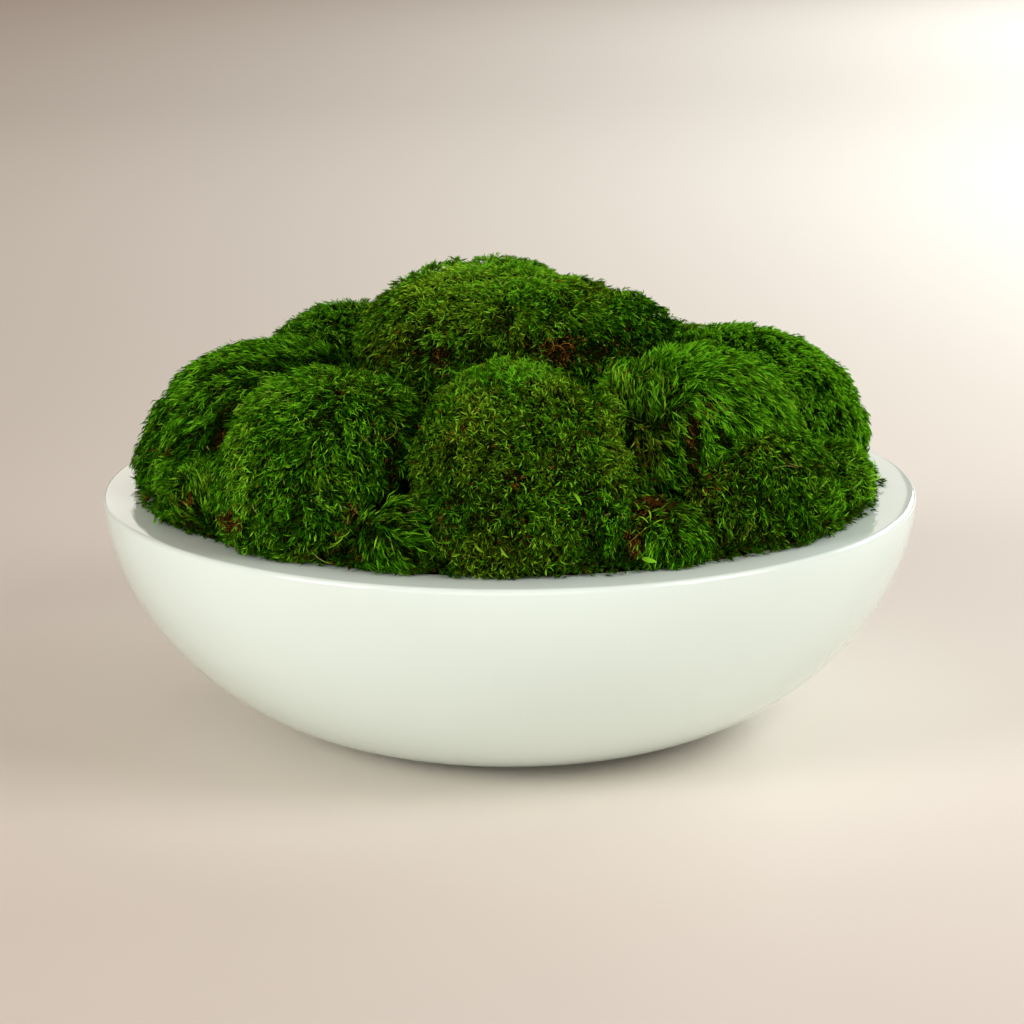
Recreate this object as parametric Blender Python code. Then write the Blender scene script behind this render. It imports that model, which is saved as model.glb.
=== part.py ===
"""Moss clump: cushions of moss heaped on a mound of soil in a wide white bowl.

Metres, +Z up. The origin is under the bowl's centre, on the surface it stands on, and the
front of the heap faces -Y. The cushions are closed bodies pressed against each other and
against the soil, with a hairline gap between neighbours.
"""

import math

import bmesh
import bpy
import numpy as np
from mathutils import Matrix, Vector, noise

# The bowl: a flat round base, a wall that swells out to a wide flat rim, and a hollow.
RIM_RADIUS = 0.250
BOWL_HEIGHT = 0.1455
BASE_RADIUS = 0.104
WALL_POWER = 1.75  # 2 would be a quarter ellipse, 1 a straight cone
RIM_WIDTH = 0.032
RIM_ROUNDING = 0.003
HOLLOW_BASE_RADIUS = 0.070
HOLLOW_FLOOR_Z = 0.018
BOWL_SIDES = 48
WALL_RINGS = 12
HOLLOW_RINGS = 6

# The soil: it fills the hollow and is heaped up in the middle.
SOIL_GAP = 0.0008
SOIL_EDGE_Z = 0.140
SOIL_CROWN_Z = 0.165
SOIL_TOP_RINGS = 5

# Between one cushion and the next, and under each cushion on the rim and on the soil.
CUSHION_GAP = 0.0008
GAP_OVER_RIM = 0.0004
GAP_OVER_SOIL = 0.0010
CUSHION_SUBDIVISIONS = 3
LUMP_DEPTH = 0.07  # of the cushion's own size
LUMP_COUNT = 1.7  # lumps across a cushion, roughly
LUMP_SEEDING = 100  # gives each cushion lumps of its own
ARM_STEPS = 80  # how finely the way out from a cushion's centre is searched
CREASE_HALVINGS = 12
TINY = 1e-9

# Each cushion: centre, half sizes along its own x, y and z, its turn about +Z and its lean
# towards its own +x, both in degrees.
CUSHIONS = {
    "moss_top": ((0.002, -0.004, 0.220), (0.106, 0.084, 0.062), 0, 5),
    "moss_front": ((0.002, -0.159, 0.168), (0.069, 0.078, 0.085), 0, 0),
    "moss_front_left": ((-0.101, -0.131, 0.170), (0.070, 0.074, 0.077), -40, 0),
    "moss_front_right": ((0.109, -0.088, 0.183), (0.068, 0.068, 0.066), 40, 5),
    "moss_front_right_lower": ((0.139, -0.121, 0.161), (0.058, 0.050, 0.055), 40, 0),
    "moss_left": ((-0.145, 0.000, 0.158), (0.087, 0.086, 0.078), 0, 0),
    "moss_right": ((0.143, 0.035, 0.164), (0.083, 0.082, 0.075), 0, 0),
    "moss_back_left": ((-0.099, 0.118, 0.175), (0.073, 0.070, 0.063), 42, 0),
    "moss_back": ((0.000, 0.156, 0.172), (0.066, 0.072, 0.066), 0, 0),
    "moss_back_right": ((0.104, 0.126, 0.164), (0.064, 0.072, 0.060), -38, 0),
    "moss_upper_left": ((-0.038, 0.070, 0.217), (0.050, 0.050, 0.053), 0, 0),
    "moss_upper_back": ((-0.002, 0.090, 0.217), (0.058, 0.054, 0.055), 0, 0),
    "moss_upper_right": ((0.078, 0.072, 0.186), (0.054, 0.052, 0.052), 0, 0),
    "moss_tuft_left": ((-0.178, -0.098, 0.154), (0.030, 0.042, 0.027), 30, 0),
    "moss_tuft_front_left": ((-0.062, -0.182, 0.152), (0.036, 0.038, 0.033), 0, 0),
    "moss_tuft_front_right": ((0.078, -0.176, 0.150), (0.036, 0.036, 0.030), 0, 0),
    "moss_tuft_right": ((0.196, -0.050, 0.157), (0.025, 0.037, 0.026), 0, 0),
    "moss_tuft_back_left": ((-0.178, 0.096, 0.156), (0.040, 0.036, 0.036), -28, 0),
    "moss_tuft_back_middle": ((-0.062, 0.188, 0.154), (0.034, 0.034, 0.034), 0, 0),
    "moss_tuft_back": ((0.062, 0.186, 0.154), (0.036, 0.036, 0.034), 0, 0),
    "moss_tuft_back_right": ((0.176, 0.108, 0.156), (0.036, 0.040, 0.036), 30, 0),
}

# Base colour, roughness, metallic.
GLAZE = ((0.80, 0.82, 0.76), 0.12, 0.0)
SOIL = ((0.050, 0.022, 0.010), 0.95, 0.0)
MOSS = ((0.050, 0.130, 0.010), 0.85, 0.0)


def clear_scene():
    for thing in list(bpy.data.objects):
        bpy.data.objects.remove(thing)


def plain_material(name, look):
    colour, roughness, metallic = look
    material = bpy.data.materials.new(name)
    material.use_nodes = True
    shader = material.node_tree.nodes["Principled BSDF"]
    shader.inputs["Base Color"].default_value = (*colour, 1.0)
    shader.inputs["Roughness"].default_value = roughness
    shader.inputs["Metallic"].default_value = metallic
    return material


def add_object(name, mesh_builder, material):
    """Puts the builder's faces, turned outwards and shaded smooth, in an object of their own."""
    bmesh.ops.recalc_face_normals(mesh_builder, faces=mesh_builder.faces)
    mesh = bpy.data.meshes.new(name)
    mesh_builder.to_mesh(mesh)
    mesh_builder.free()
    mesh.materials.append(material)
    mesh.shade_smooth()
    mesh.set_sharp_from_angle(angle=math.radians(50))
    thing = bpy.data.objects.new(name, mesh)
    bpy.context.scene.collection.objects.link(thing)
    return thing


def swelling_wall(base_radius, top_radius, base_z, top_z, rings):
    """(radius, height) pairs up a wall that leaves its base flat and ends upright."""
    points = []
    for ring in range(rings + 1):
        rise = (ring / rings) ** 2  # closer rings near the base, where the wall turns most
        swell = (1 - (1 - rise) ** WALL_POWER) ** (1 / WALL_POWER)
        radius = base_radius + (top_radius - base_radius) * swell
        points.append((radius, base_z + (top_z - base_z) * rise))
    return points


def turned(profile):
    """A closed body from an open profile that starts and ends at a flat round face."""
    builder = bmesh.new()
    rings = []
    for radius, height in profile:
        corners = [2 * math.pi * side / BOWL_SIDES for side in range(BOWL_SIDES)]
        ring = [builder.verts.new((radius * math.cos(a), radius * math.sin(a), height)) for a in corners]
        rings.append(ring)
    for lower, upper in zip(rings, rings[1:]):
        for side in range(BOWL_SIDES):
            after = (side + 1) % BOWL_SIDES
            builder.faces.new((lower[side], lower[after], upper[after], upper[side]))
    builder.faces.new(rings[0])
    builder.faces.new(rings[-1])
    return builder


def bowl_profile():
    outside = swelling_wall(BASE_RADIUS, RIM_RADIUS, 0.0, BOWL_HEIGHT - RIM_ROUNDING, WALL_RINGS)
    edge = []
    for step in (1, 2, 3):
        turn = math.radians(30 * step)
        edge.append((
            RIM_RADIUS - RIM_ROUNDING * (1 - math.cos(turn)),
            BOWL_HEIGHT - RIM_ROUNDING * (1 - math.sin(turn)),
        ))
    return outside + edge + hollow_profile()[::-1]


def hollow_profile(inset=0.0):
    """The hollow's wall from its floor up to the rim, or a skin inside it by inset."""
    return swelling_wall(
        HOLLOW_BASE_RADIUS - inset,
        RIM_RADIUS - RIM_WIDTH - inset,
        HOLLOW_FLOOR_Z + inset,
        BOWL_HEIGHT,
        HOLLOW_RINGS,
    )


def soil_height(radius):
    """Height of the soil's crown at a distance from the middle."""
    return SOIL_CROWN_Z - (SOIL_CROWN_Z - SOIL_EDGE_Z) * (radius / (RIM_RADIUS - RIM_WIDTH)) ** 2


def soil_profile():
    """Up the inside of the hollow to the soil's edge, and over its crown."""
    *wall, below, mouth = hollow_profile(SOIL_GAP)
    share = (SOIL_EDGE_Z - below[1]) / (mouth[1] - below[1])
    edge_radius = below[0] + (mouth[0] - below[0]) * share
    crown = []
    for ring in range(SOIL_TOP_RINGS):
        radius = edge_radius * (1 - ring / SOIL_TOP_RINGS)
        crown.append((radius, soil_height(radius)))
    return wall + [below] + crown


def own_axes(name):
    """The cushion's own x, y and z axes, as the columns of a rotation."""
    turn, lean = CUSHIONS[name][2:]
    return np.array(
        Matrix.Rotation(math.radians(turn), 3, "Z") @ Matrix.Rotation(math.radians(lean), 3, "Y")
    )


def reach(name, direction):
    """How far the plain ellipsoid of a cushion reaches from its centre in a direction."""
    own = direction @ own_axes(name)
    return 1 / np.linalg.norm(own / np.array(CUSHIONS[name][1]))


def contact_planes(name):
    """(outward normal, distance from the centre) of the plane where each neighbour presses."""
    centre = np.array(CUSHIONS[name][0])
    planes = []
    for other in CUSHIONS:
        if other == name:
            continue
        line = np.array(CUSHIONS[other][0]) - centre
        apart = np.linalg.norm(line)
        normal = line / apart
        mine, theirs = reach(name, normal), reach(other, -normal)
        # The plane of the circle in which two balls of these sizes would meet
        meeting = (apart**2 + mine**2 - theirs**2) / (2 * apart)
        planes.append((normal, meeting - CUSHION_GAP / 2))
    return planes


def surface_arms(name, unit):
    """From a cushion's centre to its own lumpy surface, one arm for each point of a unit ball."""
    centre, sizes = (np.array(numbers) for numbers in CUSHIONS[name][:2])
    lumps = [noise.noise(Vector(way) * LUMP_COUNT + Vector(centre) * LUMP_SEEDING) for way in unit]
    return (unit * sizes) @ own_axes(name).T * (1 + LUMP_DEPTH * np.array(lumps)[:, None])


def share_over_support(centre, arms):
    """The share of each arm from the centre that stays above the rim and the soil."""
    steps = np.linspace(0, 1, ARM_STEPS + 1)
    points = centre + steps[:, None, None] * arms
    away = np.hypot(points[..., 0], points[..., 1])
    support = np.maximum(BOWL_HEIGHT + GAP_OVER_RIM, soil_height(away) + GAP_OVER_SOIL)
    clearance = points[..., 2] - support
    first = (clearance < 0).argmax(axis=0)  # 0 where the whole arm is clear
    rows = np.arange(len(arms))
    above, below = clearance[first - 1, rows], clearance[first, rows]
    drop = np.where(first > 0, above - below, 1.0)
    return np.where(first > 0, steps[first - 1] + above / drop / ARM_STEPS, 1.0)


def free_share(name, arms):
    """The share of each arm that nothing is in the way of: 1 where the surface is free."""
    share = share_over_support(np.array(CUSHIONS[name][0]), arms)
    for normal, distance in contact_planes(name):
        towards = np.maximum(arms @ normal, TINY)
        share = np.minimum(share, distance / towards)
    return share


def slide_to_creases(name, unit, edges):
    """Moves each pressed point that has a free neighbour to the crease between the two."""
    free = free_share(name, surface_arms(name, unit)) >= 1
    pressed_side, free_side = [], []
    for pair in edges:
        if free[pair[0]] != free[pair[1]]:
            pressed_side.append(pair[int(free[pair[0]])])
            free_side.append(pair[int(free[pair[1]])])
    movers, first_pair = np.unique(pressed_side, return_index=True)
    pressed, beyond = unit[movers], unit[np.array(free_side)[first_pair]]
    for _ in range(CREASE_HALVINGS):
        middle = pressed + beyond
        middle /= np.linalg.norm(middle, axis=1, keepdims=True)
        inside = (free_share(name, surface_arms(name, middle)) >= 1)[:, None]
        pressed, beyond = np.where(inside, pressed, middle), np.where(inside, middle, beyond)
    unit[movers] = pressed


def cushion_body(name):
    """A lumpy ball, flattened where it meets its neighbours, the soil and the rim."""
    builder = bmesh.new()
    bmesh.ops.create_icosphere(builder, subdivisions=CUSHION_SUBDIVISIONS, radius=1.0)
    unit = np.array([vert.co for vert in builder.verts])
    edges = [tuple(vert.index for vert in edge.verts) for edge in builder.edges]
    slide_to_creases(name, unit, edges)
    arms = surface_arms(name, unit)
    places = np.array(CUSHIONS[name][0]) + arms * free_share(name, arms)[:, None]
    for vert, place in zip(builder.verts, places):
        vert.co = place
    return builder


def main():
    clear_scene()
    add_object("bowl", turned(bowl_profile()), plain_material("glaze", GLAZE))
    add_object("soil", turned(soil_profile()), plain_material("soil", SOIL))
    moss = plain_material("moss", MOSS)
    for name in CUSHIONS:
        add_object(name, cushion_body(name), moss)


main()
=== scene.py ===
"""Moss clump in a bowl: shoots of moss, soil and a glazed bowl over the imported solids."""

import math

import bmesh
import bpy
import numpy as np
from mathutils import Matrix, Vector, noise
from mathutils.bvhtree import BVHTree


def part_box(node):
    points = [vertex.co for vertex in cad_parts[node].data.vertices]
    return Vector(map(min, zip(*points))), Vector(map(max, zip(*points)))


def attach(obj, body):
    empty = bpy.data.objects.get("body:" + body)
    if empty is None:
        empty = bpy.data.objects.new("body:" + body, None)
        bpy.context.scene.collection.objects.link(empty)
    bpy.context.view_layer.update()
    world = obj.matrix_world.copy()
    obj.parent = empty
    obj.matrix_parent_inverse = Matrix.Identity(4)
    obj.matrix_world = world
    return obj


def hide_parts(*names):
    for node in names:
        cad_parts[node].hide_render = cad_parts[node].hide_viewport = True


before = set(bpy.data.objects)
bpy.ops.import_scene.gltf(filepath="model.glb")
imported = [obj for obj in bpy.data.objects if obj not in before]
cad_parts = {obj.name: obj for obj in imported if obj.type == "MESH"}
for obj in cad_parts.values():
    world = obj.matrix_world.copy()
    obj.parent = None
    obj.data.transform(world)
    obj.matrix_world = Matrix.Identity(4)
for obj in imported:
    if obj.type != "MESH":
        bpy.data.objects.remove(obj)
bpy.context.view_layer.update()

# Lengths are in metres, angles in degrees and colours in linear RGB unless a line says otherwise.
# The camera, fitted to the photo: places in it are pixels of a 1024-pixel frame.
VIEW_DISTANCE = 2.0
VIEW_ELEVATION = 14.1
AIM_HEIGHT = 0.1267
FOCAL_PIXELS = 3220.0
FRAME_PIXELS = 1024
AXIS_PIXEL = 510.0  # where the bowl's axis stands across the frame
ROLL = -0.12
SENSOR_WIDTH = 36.0  # in mm, as Blender has it
TILT = math.radians(VIEW_ELEVATION)
EYE = (0, -VIEW_DISTANCE * math.cos(TILT), AIM_HEIGHT + VIEW_DISTANCE * math.sin(TILT))
TO_CAMERA = np.array([0, -math.cos(TILT), math.sin(TILT)])
ABOVE = np.array([0, math.sin(TILT), math.cos(TILT)])  # up in the frame
RIGHT = np.array([1.0, 0, 0])
DOWN = np.array([0, 0, -1.0])

# The bowl's turned profile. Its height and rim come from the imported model.
BASE_RADIUS = 0.104
WALL_POWER = 1.75
WALL_RINGS = 30
RIM_WIDTH = 0.032
RIM_ROUNDING = 0.003
OUTER_STEPS, MOUTH_STEPS = 8, 6  # round the rim's two edges
HOLLOW_RADIUS = 0.070
HOLLOW_FLOOR_Z = 0.018
HOLLOW_RINGS = 16
BOWL_SIDES = 160
SHARP_ANGLE = 40
RIM_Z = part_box("bowl")[1].z
RIM_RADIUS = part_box("bowl")[1].x

# The soil: a crown of crumbs over a plug
SOIL_EDGE_Z = 0.1415
SOIL_GAP = 0.002  # between the crown's edge and its solid's
SOIL_SINK = 0.001
SOIL_RINGS, SOIL_SIDES = 32, 120
PLUG_Z = 0.12
PLUG_INSET = 0.01
CRUMB_SCALE = 90
CRUMB_HEIGHT = 0.0022
CALM_RINGS = 4  # over which the crumbs grow from the edge

# The foliage, in triangles: leafy shoots, single blades lying over them, short leaves under them
SHOOT_TRIANGLES = 310000
BLADE_TRIANGLES = 430000
UNDER_TRIANGLES = 150000
FOOT_TRIANGLES = 24000
CORE_DEPTH = 0.0045  # how far a cushion's core lies inside the outline of its foliage
REACH = -0.0008  # how far the mean shoot stands out of that outline
FOOT_RADIUS = 0.2254  # where the heap ends on the rim
FOOT_LENGTHS, FOOT_SPREAD = (0.0038, 0.0068), 32.0
UNDER_LENGTHS, UNDER_WIDTHS = (0.0026, 0.0044), (0.0008, 0.0013)
# Straw leaves are dry leaves; the whitish share are thin blades that are painted highlights, glints
# of light.
STRAW_SHARE, PAINTED_GLINT_SHARE = 0.002, 0.012  # of the leaves of shoots and of the blades
GOLDEN = 2.399963  # the golden angle in radians
WELD = 1e-5  # points of a CAD mesh nearer than this become one

# The unevenness of a cushion: scale of the noise, height, and step of its seed between cushions
LUMPS = ((60.0, 0.0028, 7.3), (150.0, 0.0012, 3.1))

# How open a face is: rays go out of it over most of a half sphere
OPEN_RAYS = 10
OPEN_SPREAD = 0.92  # how far down the half sphere the rays go, as a share of its height
OPEN_LOWEST = -0.25
OPEN_REACH = 0.12
RAY_LIFT = 0.0015
OPEN_GAIN = 2.5
FOOT_HEIGHT, FOOT_INNER, FOOT_SHARE = 0.03, 0.19, 0.6  # foliage that the foot always gets

# The ovals of MARKS and COMBS fade out round this share of their half sizes
MARK_EDGE, MARK_RAGGED = 1.3, 0.7
COMB_EDGE = 1.4

# How leaves lie on the rim
RIM_CLEARANCE = 0.0006
LIE_HEIGHT = 0.0004

# Noise over the cushions: scale, and the shift that sets one kind of patch off from another
FINE_SCALE, PATCH_SCALE, SWAY_SCALE = 120, 30, 28
PATCH_SHIFT, DRIFT_SHIFT = 3.7, 1.3
FINE_SEED, HUE_SEED = 40, 80
LOCKS_AT_ONCE = 2000  # places whose locks are looked up together, to save memory
CREASED = 0.3  # a place less open than this lies in a crease

# The leaf palette along u: litter and straw, whitish tones of painted highlights, then three hues
# of green, each from dark to bright
RUST_TONES = (0.05, 0.13)
DARK_RUST_TONES = (0.0, 0.08)
FOOT_RUST_TONES = (0.02, 0.11)
STRAW_TONES = (0.16, 0.22)
# Whitish tones of the painted highlights: thin blades that stand in for glints of light
PAINTED_GLINT_TONES = (0.19, 0.23)
TONE_ENDS = (0.005, 0.985)
TONE_SLANT = 0.003  # change of u across a leaf
HUE_STARTS = (0.27, 0.52, 0.77)
HUE_WIDTH = 0.21
PALETTE = [
    (0.00, (0.008, 0.005, 0.001)),
    (0.05, (0.040, 0.020, 0.004)),
    (0.10, (0.150, 0.062, 0.008)),
    (0.14, (0.320, 0.160, 0.024)),
    (0.17, (0.210, 0.190, 0.040)),
    (0.23, (0.400, 0.560, 0.110)),
    (0.25, (0.005, 0.030, 0.001)),
    (0.37, (0.028, 0.162, 0.0015)),
    (0.48, (0.160, 0.540, 0.012)),
    (0.50, (0.009, 0.027, 0.001)),
    (0.62, (0.054, 0.175, 0.0035)),
    (0.73, (0.200, 0.530, 0.020)),
    (0.75, (0.018, 0.028, 0.001)),
    (0.87, (0.098, 0.196, 0.0045)),
    (0.98, (0.310, 0.610, 0.026)),
]
# What multiplies the palette along v, from the root of a leaf to its tip: painted shade, darkest at
# the root where shade falls among the shoots, and brightest at the tip
LEAF_SHADE = [
    (0.0, (0.14, 0.10, 0.07)),
    (0.4, (0.50, 0.47, 0.45)),
    (0.75, (1, 1, 1)),
    (1.0, (1.25, 1.15, 1.3)),
]
CORE_COLOURS = [
    (0.36, (0.003, 0.005, 0.0005)),
    (0.50, (0.006, 0.010, 0.001)),
    (0.62, (0.012, 0.020, 0.001)),
    (0.70, (0.014, 0.009, 0.002)),
]
SOIL_COLOURS = [
    (0.3, (0.010, 0.005, 0.003)),
    (0.5, (0.045, 0.020, 0.009)),
    (0.7, (0.120, 0.055, 0.022)),
]
GLAZE_COLOURS = [(0.3, (0.745, 0.855, 0.80)), (0.7, (0.76, 0.87, 0.81))]
GLAZE_ROUGHNESS = (0.04, 0.08)

# The studio
FLOOR_HALF = 14
FLOOR_COLOUR = (0.78, 0.72, 0.655)
WORLD_COLOUR = (1.0, 0.74, 0.57, 1.0)
WORLD_STRENGTH = 0.285
CLIP_END = 60
# Each softbox: place, where it aims, its two sides, power in watts, spread and colour
SOFTBOXES = {
    "key": ((1.6, -0.9, 1.35), (0, 0, 0.12), (1.1, 1.1), 25, 180, (0.98, 0.98, 0.98)),
    "front": ((-0.3, -3.0, 0.38), (0, 0, 0.1), (3.0, 0.6), 24, 180, (0.97, 0.98, 1.0)),
    "left": ((-1.5, -1.2, 0.95), (0, 0, 0.15), (0.9, 0.8), 2.25, 50, (1.0, 0.98, 0.95)),
    "right": ((1.5, 1.6, 0.9), (0.5, 1.4, 0), (2.2, 0.8), 29, 180, (0.88, 0.97, 1.0)),
    "back": ((1.8, 4.0, 1.2), (0.6, 3.8, 0), (2.5, 1.0), 54, 180, (0.88, 0.97, 1.0)),
    "backdrop": ((-0.7, 3.4, 1.05), (-0.1, 0, 0.15), (3.0, 1.1), 2.7, 80, (0.97, 0.96, 0.88)),
}

SEED = 7
rng = np.random.default_rng(SEED)
noise.seed_set(SEED)  # the directions of noise_vector hang on it


def unit(vectors):
    return vectors / np.maximum(np.linalg.norm(vectors, axis=-1, keepdims=True), 1e-12)


def add(name, data):
    thing = bpy.data.objects.new(name, data)
    bpy.context.scene.collection.objects.link(thing)
    return thing


def link(name, mesh, material, node):
    """Puts a piece on the body, in place of a CAD node where one is given."""
    thing = add(name, mesh)
    mesh.materials.append(material)
    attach(thing, "root")
    if node:
        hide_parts(node)


# ---------------- materials


def put(node, values):
    for name, value in values.items():
        node.inputs[name].default_value = value


def shader(name, colour, roughness, specular):
    material = bpy.data.materials.new(name)
    material.use_nodes = True
    principled = material.node_tree.nodes["Principled BSDF"]
    put(principled, {"Base Color": (*colour, 1.0), "Roughness": roughness})
    put(principled, {"Specular IOR Level": specular})
    return material, material.node_tree, principled


def ramp(tree, value, stops):
    """A colour ramp driven by a socket; returns its colour socket."""
    node = tree.nodes.new("ShaderNodeValToRGB")
    elements = node.color_ramp.elements
    while len(elements) < len(stops):
        elements.new(0.5)
    for element, (place, colour) in zip(elements, stops):
        element.position = place
        element.color = (*colour, 1.0)
    tree.links.new(value, node.inputs["Fac"])
    return node.outputs["Color"]


def noise_node(tree, scale, detail, roughness):
    where = tree.nodes.new("ShaderNodeTexCoord")
    node = tree.nodes.new("ShaderNodeTexNoise")
    put(node, {"Scale": scale, "Detail": detail, "Roughness": roughness})
    tree.links.new(where.outputs["Object"], node.inputs["Vector"])
    return node.outputs["Fac"]


def add_bump(tree, principled, height, strength, distance):
    node = tree.nodes.new("ShaderNodeBump")
    put(node, {"Strength": strength, "Distance": distance})
    tree.links.new(height, node.inputs["Height"])
    tree.links.new(node.outputs["Normal"], principled.inputs["Normal"])


def leaf_material():
    """Colour by the map alone: u is the tone, v runs from the root to the tip and carries painted
    shade, dark at the root.
    """
    material, tree, principled = shader("moss_leaf", (0.05, 0.13, 0.01), 0.85, 0.0)
    place = tree.nodes.new("ShaderNodeUVMap")
    place.uv_map = "OFBake"
    split = tree.nodes.new("ShaderNodeSeparateXYZ")
    tree.links.new(place.outputs["UV"], split.inputs[0])
    shade = tree.nodes.new("ShaderNodeMix")
    shade.data_type = "RGBA"
    shade.blend_type = "MULTIPLY"
    put(shade, {"Factor": 1.0})
    tree.links.new(ramp(tree, split.outputs["X"], PALETTE), shade.inputs["A"])
    tree.links.new(ramp(tree, split.outputs["Y"], LEAF_SHADE), shade.inputs["B"])
    tree.links.new(shade.outputs["Result"], principled.inputs["Base Color"])
    return material


def core_material():
    """Old brown and dark green growth under the shoots."""
    material, tree, principled = shader("moss_core", (0.02, 0.02, 0.004), 0.95, 0.0)
    fibres = noise_node(tree, 700.0, 5.0, 0.6)
    tree.links.new(ramp(tree, fibres, CORE_COLOURS), principled.inputs["Base Color"])
    add_bump(tree, principled, fibres, 0.8, 0.002)
    return material


def soil_material():
    material, tree, principled = shader("soil_crumbs", (0.05, 0.022, 0.01), 0.95, 0.15)
    crumbs = noise_node(tree, 260.0, 8.0, 0.7)
    tree.links.new(ramp(tree, crumbs, SOIL_COLOURS), principled.inputs["Base Color"])
    add_bump(tree, principled, crumbs, 0.9, 0.003)
    return material


def glaze_material():
    """A shiny glaze whose tint and polish drift a little, with faint waves."""
    material, tree, principled = shader("bowl_glaze", (0.84, 0.92, 0.86), 0.10, 0.5)
    drifting = noise_node(tree, 9.0, 3.0, 0.5)
    tree.links.new(ramp(tree, drifting, GLAZE_COLOURS), principled.inputs["Base Color"])
    polish = tree.nodes.new("ShaderNodeMapRange")
    put(polish, dict(zip(("To Min", "To Max"), GLAZE_ROUGHNESS)))
    tree.links.new(drifting, polish.inputs["Value"])
    tree.links.new(polish.outputs["Result"], principled.inputs["Roughness"])
    add_bump(tree, principled, noise_node(tree, 22.0, 2.0, 0.4), 0.08, 0.002)
    return material


# ---------------- bowl and soil


def swelling_wall(base_radius, top_radius, base_z, top_z, rings):
    """Radius and height up a wall that swells outwards, with its rings closer at the foot."""
    points = []
    for ring in range(rings + 1):
        rise = (ring / rings) ** 2
        swell = (1 - (1 - rise) ** WALL_POWER) ** (1 / WALL_POWER)
        radius = base_radius + (top_radius - base_radius) * swell
        points.append((radius, base_z + (top_z - base_z) * rise))
    return points


def rounded_edge(radius, height, rounding, steps, outer=True):
    points = []
    for step in range(1, steps + 1):
        turn = math.pi / 2 * step / steps
        side = rounding * (1 - math.cos(turn))
        z = height - rounding * (1 - math.sin(turn))
        points.append((radius - side if outer else radius + side, z))
    return points


def bands(rings, sides):
    """The faces between rings of points that follow each other."""
    faces = []
    for ring in range(rings):
        for side in range(sides):
            a, b = ring * sides + side, ring * sides + (side + 1) % sides
            faces.append((a, b, b + sides, a + sides))
    return faces


def turned(name, profile):
    """A closed mesh turned round the bowl's axis from radii and heights."""
    mesh = bpy.data.meshes.new(name)
    sides, last = BOWL_SIDES, (len(profile) - 1) * BOWL_SIDES
    angles = 2 * np.pi * np.arange(sides) / sides
    circle = np.stack([np.cos(angles), np.sin(angles)], 1)
    co = np.concatenate([np.column_stack([r * circle, np.full(sides, z)]) for r, z in profile])
    ends = [tuple(range(sides))[::-1], tuple(range(last, last + sides))]
    mesh.from_pydata(co.tolist(), [], bands(len(profile) - 1, sides) + ends)
    mesh.shade_smooth()
    mesh.set_sharp_from_angle(angle=math.radians(SHARP_ANGLE))
    return mesh


def make_bowl():
    wall_top = RIM_Z - RIM_ROUNDING
    outside = swelling_wall(BASE_RADIUS, RIM_RADIUS, 0.0, wall_top, WALL_RINGS)
    edge = rounded_edge(RIM_RADIUS, RIM_Z, RIM_ROUNDING, OUTER_STEPS)
    inner = RIM_RADIUS - RIM_WIDTH
    land = [(inner + RIM_ROUNDING, RIM_Z)]
    mouth = rounded_edge(inner, RIM_Z, RIM_ROUNDING, MOUTH_STEPS, outer=False)[::-1][1:]
    hollow = swelling_wall(HOLLOW_RADIUS, inner, HOLLOW_FLOOR_Z, wall_top, HOLLOW_RINGS)[::-1]
    mesh = turned("bowl_glazed", outside + edge + land + mouth + hollow)
    link("bowl_glazed", mesh, glaze_material(), "bowl")


def make_soil():
    """A crumbly crown over a plug, closed all round."""
    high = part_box("soil")[1]
    edge, rings, sides = high.x - SOIL_GAP, SOIL_RINGS, SOIL_SIDES
    angles = 2 * np.pi * np.arange(sides) / sides
    plug = edge - PLUG_INSET
    co = [(plug * math.cos(a), plug * math.sin(a), PLUG_Z) for a in angles]
    for ring in range(rings, 0, -1):
        radius = edge * ring / rings
        crown = high.z - (high.z - SOIL_EDGE_Z) * (ring / rings) ** 2
        rough = CRUMB_HEIGHT * min(1.0, (rings - ring) / CALM_RINGS)
        for x, y in zip(radius * np.cos(angles), radius * np.sin(angles)):
            lump = noise.fractal(Vector((x, y, 0.3)) * CRUMB_SCALE, 0.8, 2.1, 4) * rough
            co.append((x, y, crown + lump - SOIL_SINK))
    faces = [tuple(range(sides))[::-1]] + bands(rings, sides)
    top = len(co)
    co.append((0.0, 0.0, high.z - SOIL_SINK))
    last = top - sides
    faces += [(last + side, last + (side + 1) % sides, top) for side in range(sides)]
    mesh = bpy.data.meshes.new("soil_fill")
    mesh.from_pydata(co, [], faces)
    mesh.shade_smooth()
    link("soil_fill", mesh, soil_material(), "soil")


# ---------------- cushions


def smooth_copy(node, levels):
    """The CAD node's mesh, welded and subdivided."""
    builder = bmesh.new()
    builder.from_mesh(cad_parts[node].data)
    bmesh.ops.remove_doubles(builder, verts=builder.verts, dist=WELD)
    mesh = bpy.data.meshes.new("work")
    builder.to_mesh(mesh)
    builder.free()
    thing = add("work", mesh)
    modifier = thing.modifiers.new("smooth", "SUBSURF")
    modifier.levels = modifier.render_levels = levels
    shown = thing.evaluated_get(bpy.context.evaluated_depsgraph_get())
    made = bpy.data.meshes.new_from_object(shown)
    bpy.data.objects.remove(thing)
    return made


def arrays(mesh):
    """A mesh's points, normals and the four corners of each face."""
    co, normal = np.empty((2, len(mesh.vertices) * 3), np.float32)
    mesh.vertices.foreach_get("co", co)
    mesh.vertices.foreach_get("normal", normal)
    quads = np.empty(len(mesh.loops), np.int32)
    mesh.loops.foreach_get("vertex_index", quads)
    co, normal = (values.reshape(-1, 3).astype(float) for values in (co, normal))
    return co, normal, quads.reshape(-1, 4)


def noise_at(points, scale, seed, shift=0):
    return np.array([noise.noise(Vector(p) * scale + Vector((seed, shift, 0))) for p in points])


def faceted(node, levels, index, depth):
    """The node's surface with the unevenness of its foliage, and moved in by a depth."""
    mesh = smooth_copy(node, levels)
    co, normal, quads = arrays(mesh)
    uneven = sum(noise_at(co, scale, index * seed) * height for scale, height, seed in LUMPS)
    return mesh, co + normal * (uneven[:, None] - depth), normal, quads


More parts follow.
